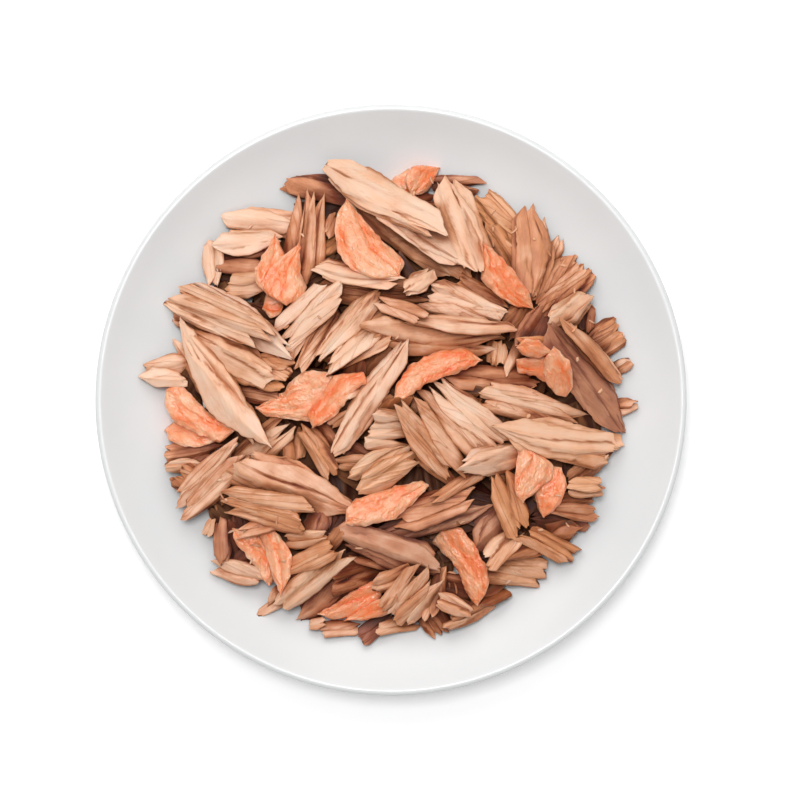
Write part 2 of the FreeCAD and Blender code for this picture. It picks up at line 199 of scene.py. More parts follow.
# Salmon by the number of its node: the layers of each piece from the bottom up, each with the
# heading of its grain and the corners of its torn outline.
SALMON = {
    1: (
        (20, (-2.5, 73.3), (3, 77), (8, 79.5), (9, 71), (2, 69)),
        (52, (8.5, 80.2), (16.8, 79), (14.5, 74.5), (12, 71), (8, 68.5), (5, 71), (5, 77)),
    ),
    2: (
        (-58, (-14.5, 68), (-10, 61.5), (-3.5, 54), (4.5, 46.5), (3, 41.5), (-5, 40), (-13.5, 43.5),
         (-18.5, 50.5), (-18.5, 58), (-17, 65)),
    ),
    3: (
        (10, (-43.5, 36), (-43.3, 30.5), (-40.8, 27.2), (-37.6, 28.4), (-35.5, 31.5), (-36, 37)),
        (75, (-39.3, 56), (-35.8, 49), (-36, 40), (-41, 35), (-45, 38), (-46.5, 42), (-43.5, 48)),
        (78, (-30.7, 52.7), (-30.3, 42), (-28, 38), (-29, 34.5), (-34, 31.5), (-40, 33.5),
         (-43, 37), (-42, 42), (-37, 48)),
    ),
    4: (
        (-24, (-74, -6.5), (-66, -8), (-58, -13), (-62, -15.3), (-69, -16), (-75, -14),
         (-77.5, -10.5)),
        (-34, (-77.3, 0.5), (-76, 4), (-73, 6.2), (-69.5, 3.5), (-61, -5), (-51.5, -9.5),
         (-57.5, -14.8), (-64, -12), (-74, -7), (-76, -3)),
    ),
    5: (
        (14, (-45.5, -2), (-36, 2.5), (-33.5, 7), (-28, 10), (-19, 9), (-18, 2), (-24, -6),
         (-28.5, -7.3), (-36, -6.3), (-43, -5.2)),
        (44, (-25.5, -9.8), (-29, -6), (-22, 3), (-19, 8.5), (-10, 9.7), (-7, 6), (-12, 3.5),
         (-15.5, -1.5), (-19.5, -6)),
    ),
    6: (
        (27, (1.3, 0.3), (1.2, 4), (6, 11.3), (15, 16.3), (25, 17.2), (30.7, 13), (22, 9), (13, 6),
         (4, 0)),
    ),
    7: (
        (-52, (31, 52.5), (36, 49), (42, 42.5), (46.5, 36), (48.5, 30.3), (41, 31.3), (34, 36.5),
         (29.5, 41), (31.5, 46)),
    ),
    8: (
        (-12, (41.7, 17), (43.5, 21), (49, 20), (54, 16), (50, 14), (44, 14.8)),
        (-22, (42.3, 13.8), (51, 14.8), (56, 10), (54, 5), (48.5, 8.2), (42.8, 8.9), (41.3, 11)),
        (-66, (51, 14.5), (54.5, 17.7), (60, 12.7), (61.5, 4), (58.5, 1.2), (55, 1.8), (51.5, 7)),
    ),
    9: (
        (-104, (42.5, -13.5), (48, -17), (54.3, -21), (53.8, -26.5), (48, -31.2), (44.3, -34.4),
         (41.6, -31), (41.3, -26), (42.2, -20)),
    ),
    10: (
        (-118, (53, -21), (57.8, -23.2), (59.1, -28), (57, -34.5), (51.7, -39.8), (50, -38.3),
         (48, -31.5), (51, -27)),
    ),
    11: (
        (18, (-15.5, -37.5), (-12, -33.3), (-5, -30.3), (10.5, -26.8), (12.6, -28.8), (7, -35),
         (1.5, -39.5), (-9, -42), (-15, -42)),
    ),
    12: (
        (-60, (-53.8, -43.5), (-46, -43.5), (-40, -50), (-39, -60), (-41.5, -62.8), (-46.5, -55.5),
         (-52, -48.5)),
        (-72, (-45, -44.5), (-42, -42.5), (-38, -44.3), (-33, -53), (-34.3, -61), (-37, -66),
         (-39.5, -60), (-42, -52)),
    ),
    13: (
        (-58, (12.8, -47), (18, -43.5), (23.5, -42.5), (29, -50), (31.3, -55), (33.5, -61),
         (31, -67), (29, -69.8), (25, -64.5), (23, -59), (20.3, -54)),
    ),
    14: (
        (28, (-25, -72.3), (-19, -69.3), (-13, -64.5), (-6, -61), (-2, -64.5), (-6, -70),
         (-15, -74), (-21, -74.5)),
        (20, (-16, -75), (-10, -70.5), (-4, -67), (0.3, -68), (3, -70.7), (-2, -73), (-8, -74.5)),
    ),
}

# How each kind of flake is made up: splinters, their overlap, their turn across the flake and
# their roll in radians, how fibrous it looks, and the blunt share and taper of the two ends.
KINDS = {
    "blade": (1, 1.0, 0.00, 0.00, 0.15, (0.30, 0.22), (0.05, 0.36)),
    "crescent": (1, 1.0, 0.00, 0.10, 0.15, (0.12, 0.40), (0.04, 0.45)),
    "pair": (2, 1.5, 0.08, 0.22, 0.35, (0.45, 0.16), (0.08, 0.36)),
    "bundle": (3, 2.0, 0.12, 0.28, 0.5, (0.32, 0.20), (0.05, 0.40)),
    "comb": (4, 1.7, 0.00, 0.18, 0.4, (0.60, 0.15), (0.02, 0.50)),
    "blunt": (3, 1.5, 0.03, 0.22, 0.3, (0.75, 0.10), (0.70, 0.10)),
    "chunk": (4, 2.0, 0.10, 0.25, 0.7, (0.60, 0.20), (0.40, 0.25)),
}

PAINTED_LIGHT_FALLOFF = 0.15         # painted light: how much lighter the flesh is painted at the far left, where more light falls
LIGHT_SWING, WARM_SWING = (-0.6, 0.15), (-0.25, 0.25)   # of a flake about its tone
SPLINTER_SWING = (-0.2, 0.2)         # of a splinter's lightness about its flake's
# Lightness and warmth of each tone, with 0 for neither.
TONES = {
    "pale": (0.25, 0.1),
    "mid": (0.1, 0.1),
    "amber": (0.05, 0.7),
    "mauve": (-0.25, -0.6),
    "brown": (-0.6, -0.1),
    # deep is painted shade: the buried flakes are coloured dark for the shade they lie in
    "deep": (-1.5, 0.1),
}


# --- grids of points ------------------------------------------------
def ripple(rng, rows, cols, row_step, col_step):
    """Smooth random grid of rows by cols from -1 to 1, with knots at these steps."""
    knots = rng.uniform(-1, 1, (int(rows / row_step) + 3, int(cols / col_step) + 3))
    at_row, at_col = np.arange(rows) / row_step, np.arange(cols) / col_step
    ease_row = at_row.astype(int) + (1 - np.cos((at_row % 1) * np.pi)) / 2
    ease_col = at_col.astype(int) + (1 - np.cos((at_col % 1) * np.pi)) / 2
    half = np.array([np.interp(ease_col, np.arange(knots.shape[1]), row) for row in knots])
    return np.array([np.interp(ease_row, np.arange(knots.shape[0]), col) for col in half.T]).T


def evened(values, reach):
    """Each row's running mean over this many points to each side."""
    padded = np.pad(values, ((0, 0), (reach, reach)), mode="edge")
    wide = values.shape[1]
    return sum(padded[:, i : i + wide] for i in range(2 * reach + 1)) / (2 * reach + 1)


def outline(rng, t, start, end, long_side):
    """Half-width along one side as a share of the most, torn straight to a tip at each end.

    start and end are the share left at the tip and the length of the taper. The long side
    tapers slowly and the other one quickly, so the tips lie off the middle.
    """
    reach = 1.35 if long_side else 0.45
    rise_over = start[1] * reach * rng.uniform(0.8, 1.2)
    fall_over = end[1] * reach * rng.uniform(0.8, 1.2)
    rise = start[0] + (1 - start[0]) * t / rise_over
    fall = end[0] + (1 - end[0]) * (1 - t) / fall_over
    return np.minimum(1, np.minimum(rise, fall))


def joined(left, surface, right):
    """Grid of the columns of the left wall, the surface and the right wall, side by side."""
    columns = (*left, surface, *right)
    return np.stack([np.hstack([column[i] for column in columns]) for i in range(3)], axis=-1)


def splinter(rng, length, width, thick, start, end, bend=0.0, fine=1.0):
    """One splinter as (stations, points round it, xyz), with values per point for its colour: its
    fibre place, and the painted light and painted shade of its edges, ridges, walls and dips.

    The round runs over the top from the left wall's foot to the right wall's foot.
    """
    stations = max(8, round(length / STATION_STEP / fine))
    across = max(5, round(width / ACROSS_STEP / fine))
    t = np.linspace(0, 1, stations)[:, None]
    v = np.linspace(-1, 1, across)[None, :]
    long_side = rng.choice((0, 1))
    left = outline(rng, t, start, end, long_side)
    right = outline(rng, t, start, end, 1 - long_side)
    left = np.maximum(left + EDGE_WAVER * ripple(rng, stations, 1, 1.5, 1), 0.03)
    right = np.maximum(right + EDGE_WAVER * ripple(rng, stations, 1, 1.5, 1), 0.03)
    girth = (left + right) / 2
    middle = bend * (4 * t * (1 - t) - 0.5) + 0.03 * width * ripple(rng, stations, 1, 9, 1)

    y = middle + v * np.where(v < 0, left, right) * width / 2
    slant = rng.uniform(-MOST_SLANT, MOST_SLANT)
    x = (t - 0.5) * length + slant * (y - middle) + 0.25 * ripple(rng, stations, across, 3, 2)
    torn = TORN_REACH * min(1, width / 6) * ripple(rng, 1, across, 1, 2.2 / fine)
    x = x + torn * (2 * t - 1) ** 8

    ridge = rng.uniform(-0.4, 0.4) + rng.uniform(-0.8, 0.8) * (t - 0.5)
    tent = np.where(v < ridge, (v + 1) / (ridge + 1), (1 - v) / (1 - ridge))
    z = min(0.22 * width, RIDGE_HEIGHT) * tent * girth
    for _ in range(int(width / STEP_SPACING)):
        line = rng.uniform(-0.8, 0.8) + rng.uniform(-1.6, 1.6) * (t - 0.5)
        line = line + 0.08 * ripple(rng, stations, 1, 5, 1)
        side = rng.choice((-1, 1))
        step = np.clip((v - line) * side * width / STEP_RUN, 0, 1)
        z = z - rng.uniform(*STEP_DEPTH) * step * np.minimum(1, 1.5 * girth)
    z = z + 0.07 * ripple(rng, stations, across, 10, 2 / fine)
    z = z + 0.25 * ripple(rng, stations, 1, 8, 1)

    level = evened(z, max(1, round(3 / fine)))
    # painted shade: a dip below what is round it is coloured darker
    painted_dip_shade = np.clip((level - z - DIP_FROM) / DIP_RANGE, 0, 1)
    # painted highlight: a ridge above what is round it is coloured paler and amber
    painted_ridge_highlight = np.clip((z - level - LIFT_FROM) / LIFT_RANGE, 0, 1)

    drop = thick * (0.45 + 0.55 * girth)
    walls = []
    for side, edge in ((0, left), (-1, right)):
        sign = -1 if side == 0 else 1
        edge_x, edge_y, edge_z = x[:, side, None], y[:, side, None], z[:, side, None]
        waver = 0.2 * ripple(rng, stations, 1, 2, 1)
        lip = (edge_x, edge_y + sign * 0.12, edge_z - 0.3)
        half = (edge_x, edge_y - sign * (0.1 + waver), edge_z - drop * 0.5)
        foot = (edge_x, edge_y - sign * 0.2 * width * edge, edge_z - drop)
        walls.append((lip, half, foot))
    points = joined(walls[0][::-1], (x, y, z), walls[1])
    one = np.ones_like(t)
    # rim: amber at the edges and ends, painted as light through the thin flesh, with the painted
    # ridge highlight
    rim = np.maximum(np.abs(v) ** 5 * one, np.abs(2 * t - 1) ** 16 * np.ones_like(v))
    rim = np.maximum(rim, 0.8 * painted_ridge_highlight)
    grain = rng.uniform(-0.28, 0.28)
    values = {
        "rim": np.hstack([0.2 * one, 0.5 * one, one, rim, one, 0.5 * one, 0.2 * one]),
        # painted shade: the walls darker towards their foot, and the dips on top shaded
        "wall": np.hstack([one, 0.8 * one, 0.1 * one, 0.6 * painted_dip_shade, 0.1 * one, 0.8 * one, one]),
        "fibre": turned(points, grain) + rng.uniform(-500, 500, 3),
    }
    return points, values


def outline_reach(corners, along):
    """Lowest and highest y of a closed outline at each x in along."""
    low, high = np.full(len(along), np.inf), np.full(len(along), -np.inf)
    for (x0, y0), (x1, y1) in zip(corners, np.roll(corners, -1, axis=0)):
        within = (along >= min(x0, x1) - 1e-9) & (along <= max(x0, x1) + 1e-9)
        if abs(x1 - x0) < 1e-9:
            continue
        y = y0 + (y1 - y0) * (along - x0) / (x1 - x0)
        low = np.where(within, np.minimum(low, y), low)
        high = np.where(within, np.maximum(high, y), high)
    return low, high


def softened(values, reach):
    """The values with their corners rounded over a number of stations to each side."""
    weights = np.hanning(2 * reach + 3)[1:-1]
    padded = np.pad(values, reach, mode="edge")
    return np.convolve(padded, weights / weights.sum(), mode="valid")


def fillet(rng, corners):
    """One layer of salmon over its outline: rounded, with thin edges and folds along its grain.

    The corners are in the layer's own frame, with the grain along +X.
    """
    first, last = corners[:, 0].min(), corners[:, 0].max()
    stations = round((last - first) / FILLET_STEP)
    along = np.linspace(first, last, stations)
    low, high = outline_reach(corners, along)
    low, high = softened(low, SOFTENED), softened(high, SOFTENED)
    low, high = low[:, None], high[:, None]
    width = float((high - low).max())
    across = round(width / FILLET_STEP)
    t = np.linspace(0, 1, stations)[:, None]
    v = np.linspace(-1, 1, across)[None, :]
    ends = np.minimum(1, np.minimum(t, 1 - t) * (last - first) / 2.0) ** 0.5
    half = np.maximum((high - low) / 2 * (0.25 + 0.75 * ends), 0.15)
    middle = (low + high) / 2
    girth = np.minimum(1, 2 * half / width)
    half_left = np.maximum(half + 0.35 * ripple(rng, stations, 1, 3, 1), 0.1)
    half_right = np.maximum(half + 0.35 * ripple(rng, stations, 1, 3, 1), 0.1)
    y = middle + v * np.where(v < 0, half_left, half_right)
    x = along[:, None] + 0.35 * ripple(rng, stations, across, 6, 5)

    z = (CROWN - EDGE_DROP * np.abs(v) ** 4) * (0.35 + 0.65 * girth)
    painted_crease_shade = np.zeros_like(z)
    for _ in range(max(2, round(width / FOLD_SPACING))):
        line = rng.uniform(-0.8, 0.8) + rng.uniform(-1.3, 1.3) * (t - 0.5)
        off = (v - line - 0.15 * ripple(rng, stations, 1, 12, 1)) * width / 2
        off = off * rng.choice((-1, 1))
        fade = np.clip(2.2 * np.sin(np.pi * np.clip(t + rng.uniform(-0.3, 0.3), 0, 1)), 0, 1)
        valley = np.where(off > 0, np.exp(-off / 0.3), np.exp(off / 1.8)) * fade
        z = z - rng.uniform(*FOLD_DEPTH) * valley
        # painted shade in the fold's valley
        painted_crease_shade = np.maximum(painted_crease_shade, valley * rng.uniform(0.3, 0.8))
    z = z + 0.3 * ripple(rng, stations, across, 9, 7) + 0.12 * ripple(rng, stations, across, 4, 2)
    z = z + 0.7 * ripple(rng, stations, 1, 18, 1)
    z = z + 0.5 * ripple(rng, stations, across, 3, 3) * np.abs(v) ** 6

    walls = []
    for side in (0, -1):
        sign = -1 if side == 0 else 1
        edge_x, edge_y, edge_z = x[:, side, None], y[:, side, None], z[:, side, None]
        lip = (edge_x, edge_y + sign * 0.1, edge_z - 0.4)
        foot = (edge_x, edge_y - sign * 0.3 * half, edge_z - 2.2 - 1.2 * girth)
        walls.append((lip, foot))
    points = joined(walls[0][::-1], (x, y, z), walls[1])
    one = np.ones_like(t)
    rim = np.maximum(np.abs(v) ** 8 * one, np.abs(2 * t - 1) ** 24 * np.ones_like(v))
    values = {
        "rim": np.hstack([0 * one, one, rim, one, 0 * one]),
        # painted shade: on the sides and in the creases
        "wall": np.hstack([one, 0.3 * one, painted_crease_shade, 0.3 * one, one]),
        "fibre": points + rng.uniform(-500, 500, 3),
    }
    return points, values


def turned(points, angle, roll=0.0):
    """The points rolled about their length and then turned on the plate."""
    x, y, z = points[..., 0], points[..., 1], points[..., 2]
    y, z = y * math.cos(roll) - z * math.sin(roll), y * math.sin(roll) + z * math.cos(roll)
    c, s = math.cos(angle), math.sin(angle)
    return np.stack([x * c - y * s, x * s + y * c, z], axis=-1)


def flake(rng, length, width, kind, fine=1.0):
    """A flake as a list of splinters, level and centred on the origin, along +X.

    The splinters lie like roof tiles: each is rolled the same way, overlaps the next and is
    turned a little across the flake, so their tips make teeth.
    """
    count, overlap, shingle, roll, _, start, end = KINDS[kind]
    if kind in ("chunk", "bundle", "comb"):
        count = max(2, round(width / STRIP_WIDTH))
    strip = width / count
    lean = rng.choice((-1, 1)) * roll
    turn = rng.choice((-1, 1)) * shingle
    ends = (end, start) if kind != "comb" and rng.random() < 0.5 else (start, end)
    made = []
    for i in range(count):
        middle = i - (count - 1) / 2
        long = length * (1 if count == 1 else rng.uniform(0.78, 0.95))
        thick = rng.uniform(*(LONE_THICK if count == 1 else STRIP_THICK))
        bend = -0.09 * length if kind == "crescent" else rng.uniform(-0.03, 0.03) * length
        points, values = splinter(rng, long, strip * overlap, thick, *ends, bend, fine)
        points = turned(points, turn + rng.uniform(-0.03, 0.03), lean + rng.uniform(-0.08, 0.08))
        points[..., 0] += length * rng.uniform(-0.06, 0.06)
        points[..., 1] += middle * strip
        points[..., 2] += rng.uniform(-0.3, 0.3)
        made.append((points, values))
    if kind in ("blade", "crescent"):
        side = rng.choice((-1, 1))
        for drop in (1.1, 2.0):
            points, values = splinter(rng, length * 0.85, width * 0.75, 2.0, *ends, 0, fine)
            points = turned(points, rng.uniform(-0.06, 0.06), 0.12 * side)
            points[..., 0] += length * rng.uniform(-0.08, 0.08)
            points[..., 1] += side * width * 0.22
            points[..., 2] -= drop
            made.append((points, values))
            side = -side
    return made


# --- laying the heap ------------------------------------------------
def plate_slope(distance):
    """Slope of the wall's upper side at this distance from the axis, in radians."""
    share = (distance - WELL_RADIUS) / (STEEP_RADIUS - WELL_RADIUS)
    return math.radians(STEEPEST) * np.clip(share, 0, 1)


def plate_levels(distances):
    """Height of the plate's upper side at these distances from the axis, mm."""
    fine = np.arange(0, PLATE_RADIUS, 0.25)
    rise = np.tan(plate_slope(fine)) * 0.25
    return np.interp(distances, fine, WELL_LEVEL + np.cumsum(rise))


class Heap:
    """How high the food has grown, as a grid over the plate."""

    def __init__(self):
        self.levels = plate_levels(RADII)
        side = np.arange(-GRID_REACH, GRID_REACH + CELL, CELL)
        self.top = self.plate(*np.meshgrid(side, side, indexing="ij"))

    def plate(self, x, y):
        """Height of the plate's upper side at these places."""
        return np.interp(np.hypot(x, y), RADII, self.levels)

    def cell(self, x, y):
        """Indices of the grid's cells at these places."""
        i = np.clip(np.round((x + GRID_REACH) / CELL).astype(int), 0, len(self.top) - 1)
        j = np.clip(np.round((y + GRID_REACH) / CELL).astype(int), 0, len(self.top) - 1)
        return i, j

    def lay(self, parts, x, y, heading, sink=0.0):
        """Rests a flake's parts on the heap at a place, and returns them there."""
        angle = math.radians(heading)
        foot = np.concatenate([p[:, [0, 1, -2, -1]].reshape(-1, 3) for p, _ in parts])
        c, s = math.cos(angle), math.sin(angle)
        ground = self.top[self.cell(foot[:, 0] * c - foot[:, 1] * s + x,
                                    foot[:, 0] * s + foot[:, 1] * c + y)]
        need = ground - foot[:, 2]
        fit = np.column_stack([np.ones(len(foot)), foot[:, 0], foot[:, 1]])
        _, slope, roll = np.linalg.lstsq(fit, need, rcond=None)[0]
        slope = np.clip(slope, -MOST_SLOPE, MOST_SLOPE)
        roll = np.clip(roll, -MOST_ROLL, MOST_ROLL)
        left = need - slope * foot[:, 0] - roll * foot[:, 1]
        level = np.percentile(left, SETTLED) - sink
        laid = []
        for points, values in parts:
            tilt = level + slope * points[..., 0] + roll * points[..., 1]
            placed = turned(points, angle)
            placed[..., 0] += x
            placed[..., 1] += y
            placed[..., 2] += tilt
            floor = self.plate(placed[..., 0], placed[..., 1])
            placed[..., 2] = np.maximum(placed[..., 2], floor + 0.05)
            laid.append((placed, values))
        for placed, _ in laid:
            half = (placed[1:] + placed[:-1]) / 2
            for grid in (placed, half):
                np.maximum.at(self.top, self.cell(grid[..., 0], grid[..., 1]), grid[..., 2])
        return laid


def placed_object(name, mesh):
    """A smooth object of this mesh, in the scene."""
    mesh.validate()
    mesh.shade_smooth()
    piece = bpy.data.objects.new(name, mesh)
    bpy.context.scene.collection.objects.link(piece)
    return piece


def make_piece(name, laid, material, tones):
    """One mesh object of all the laid splinters, in metres, with their colour values, painted light
    and painted shade among them.
    """
    points, faces, start = [], [], 0
    stores = {"rim": [], "wall": [], "fibre": [], "tone": []}
    for (grid, values), tone in zip(laid, tones):
        rows, cols = grid.shape[:2]
        index = start + np.arange(rows * cols).reshape(rows, cols)
        around = np.roll(index, -1, axis=1)
        quads = np.stack([index[:-1], around[:-1], around[1:], index[1:]], axis=-1)
        points.append(grid.reshape(-1, 3))
        faces.append(quads.reshape(-1, 4))
        values = {**values, "tone": np.broadcast_to(tone, grid.shape)}
        for key, store in stores.items():
            store.append(values[key].reshape(rows * cols, *values[key].shape[2:]))
        start += rows * cols
        for row, ring in ((0, index[0][::-1]), (-1, index[-1])):
            fan = [(a, b, start, start) for a, b in zip(ring, np.roll(ring, -1))]
            points.append(grid[row].mean(axis=0)[None])
            faces.append(np.array(fan))
            fibre = values["fibre"][row].mean(axis=0)
            # the caps get painted shade and the rim's painted amber edge light
            cap = {"rim": 0.8, "wall": 0.6, "fibre": fibre, "tone": tone}
            for key, store in stores.items():
                store.append(np.array([cap[key]]))
            start += 1
    points = np.concatenate(points) * MM
    faces = [
        (a, b, c) if c == d else (a, b, c, d) for a, b, c, d in np.concatenate(faces).tolist()
    ]
    mesh = bpy.data.meshes.new(name)
    mesh.from_pydata(points.tolist(), [], faces)
    for key, store in stores.items():
        values = np.concatenate(store).astype(np.float32)
        kind, field = ("FLOAT", "value") if values.ndim == 1 else ("FLOAT_VECTOR", "vector")
        made = mesh.attributes.new(key, kind, "POINT")
        made.data.foreach_set(field, values.ravel())
    # room for the painted shade of the heap's hollows
    mesh.attributes.new("hollow", "FLOAT", "POINT")
    mesh.materials.append(material)
    piece = placed_object(name, mesh)
    mesh.set_sharp_from_angle(angle=math.radians(SHARP_ANGLE))
    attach(piece, "root")
    return piece


def set_hollows(piece, heap):
    """Stores how deep each point lies below what is round it, from 0 to 1, as the share of painted
    shade that it gets.
    """
    level = evened(evened(heap.top, HOLLOW_REACH).T, HOLLOW_REACH).T
    places = np.empty(len(piece.data.vertices) * 3)
    piece.data.vertices.foreach_get("co", places)
    x, y, z = places.reshape(-1, 3).T / MM
    depth = np.clip((level[heap.cell(x, y)] - z) / HOLLOW_DEPTH, 0, 1)
    piece.data.attributes["hollow"].data.foreach_set("value", depth.astype(np.float32))


def plate_profile():
    """Radius and height of the plate's outline, from the well's middle round to the underside's."""
    lip = PLATE_RADIUS - LIP_RADIUS
    lean = float(plate_slope(lip))
    edge = lip - LIP_RADIUS * math.sin(lean)
    well = range(0, 61, 4)
    upper = [(r, float(plate_levels(r))) for r in (*well, *np.arange(61, edge, WALL_STEP))]
    middle = float(plate_levels(edge)) - LIP_RADIUS * math.cos(lean)
    turn = [math.radians(90 - a) + lean for a in range(0, 181, 12)]
    rounded = [(lip + LIP_RADIUS * math.cos(a), middle + LIP_RADIUS * math.sin(a)) for a in turn]
    under = []
    for r in np.arange(edge - 2, WELL_RADIUS - 4, -WALL_STEP):
        share = np.clip((r - WELL_RADIUS) / (edge - WELL_RADIUS), 0, 1)
        thick = PLATE_THICKNESS + (2 * LIP_RADIUS - PLATE_THICKNESS) * share
        slope = float(plate_slope(r))
        height = float(plate_levels(r)) - thick * math.cos(slope)
        under.append((r + thick * math.sin(slope), height))
    inner = FOOT_RADIUS - FOOT_FACE - 2 * FOOT_ROUND
    outside = [(FOOT_RADIUS + out, height) for out, height in FOOT_SIDE]
    inside = [(inner - out, height) for out, height in FOOT_SIDE[::-1]]
    return upper + rounded + under + outside + inside + [(inner - 12, FOOT_HEIGHT), (0, FOOT_HEIGHT)]


def make_plate(material):
    """Coupe plate: a flat well, a wall that grows steeper to a rounded lip, and a foot ring."""
    profile = plate_profile()
    angles = np.linspace(0, 2 * math.pi, PLATE_SEGMENTS, endpoint=False)
    radius, height = np.array(profile[1:-1]).T[:, :, None]
    rings = [radius * np.cos(angles), radius * np.sin(angles), height * np.ones_like(angles)]
    ends = [(0, 0, profile[0][1]), (0, 0, profile[-1][1])]
    points = np.concatenate([np.stack(rings, axis=-1).reshape(-1, 3), ends]) * MM
    centre, base = len(points) - 2, len(points) - 1
    index = np.arange(centre).reshape(-1, PLATE_SEGMENTS)
    beside = np.roll(index, -1, axis=1)
    quads = np.stack([index[:-1], index[1:], beside[1:], beside[:-1]], axis=-1).reshape(-1, 4)
    faces = [tuple(q) for q in quads.tolist()]
    faces += [(centre, int(a), int(b)) for a, b in zip(index[0], beside[0])]
    faces += [(base, int(b), int(a)) for a, b in zip(index[-1], beside[-1])]
    mesh = bpy.data.meshes.new("plate_glazed")
    mesh.from_pydata(points.tolist(), [], faces)
    mesh.materials.append(material)
    piece = placed_object("plate_glazed", mesh)
    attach(piece, "root")
    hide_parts("plate")


# --- materials ------------------------------------------------------
class Nodes:
    """A short way to write the nodes of a material, or of the world."""

    def __init__(self, owner, shader="Principled BSDF"):
        owner.use_nodes = True
        self.tree = owner.node_tree
        self.shader = self.tree.nodes[shader]

    def fill(self, node, sockets):
        """Links a node's sockets to these sources, or gives them these constants."""
        for key, value in sockets.items():
            if isinstance(value, bpy.types.NodeSocket):
                self.tree.links.new(value, node.inputs[key])
            else:
                node.inputs[key].default_value = value

    def add(self, kind, sockets=None, **settings):
        """Adds a node and returns its outputs."""
        node = self.tree.nodes.new(kind)
        for key, value in settings.items():
            setattr(node, key, value)
        self.fill(node, sockets or {})
        return node.outputs

    def stored(self, name, output="Fac"):
        """What the mesh's points hold under this name."""
        return self.add("ShaderNodeAttribute", attribute_name=name)[output]

    def axes(self, vector):
        return self.add("ShaderNodeSeparateXYZ", {0: vector})

    def math(self, operation, *values, clamp=False):
        sockets = dict(enumerate(values))
        return self.add("ShaderNodeMath", sockets, operation=operation, use_clamp=clamp)[0]

    def total(self, level, *terms):
        """The level plus each source times its share, kept between 0 and 1 at the end."""
        for source, share in terms:
            level = self.math("MULTIPLY_ADD", source, share, level)
        level.node.use_clamp = True
        return level

    def centred(self, noise):
        return self.math("SUBTRACT", noise, 0.5)

    def spread(self, source, least, most, low, high):
        """The source, from least to most, spread over low to high."""
        ends = {"From Min": least, "From Max": most, "To Min": low, "To Max": high}
        return self.add("ShaderNodeMapRange", {"Value": source, **ends})["Result"]

    def noise(self, vector, scale, detail=2.0, stretch=(1, 1, 1)):
        vector = self.add("ShaderNodeMapping", {"Vector": vector, "Scale": stretch})[0]
        sockets = {"Vector": vector, "Scale": scale, "Detail": detail}
        return self.add("ShaderNodeTexNoise", sockets)["Fac"]

    def ramp(self, factor, stops):
        node = self.tree.nodes.new("ShaderNodeValToRGB")
        ramp = node.color_ramp
        while len(ramp.elements) < len(stops):
            ramp.elements.new(0.5)
        for element, (place, colour) in zip(ramp.elements, stops):
            element.position = place
            element.color = colour
        self.fill(node, {"Fac": factor})
        return node.outputs["Color"]

    def mix(self, factor, a, b):
        return self.add("ShaderNodeMix", {0: factor, 6: a, 7: b}, data_type="RGBA")[2]

    def relief(self, *heights):
        """Normal of the surface with these heights on it, each with its depth in mm."""
        under = {}
        for height, depth in heights:
            sockets = {"Height": height, "Distance": depth * MM, **under}
            under = {"Normal": self.add("ShaderNodeBump", sockets)["Normal"]}
        return under["Normal"]


def srgb(*levels):
    """Linear colour of an sRGB colour written in 0 to 255."""
    shares = [level / 255 for level in levels]
    return (*((c / 12.92) if c < 0.04045 else ((c + 0.055) / 1.055) ** 2.4 for c in shares), 1)


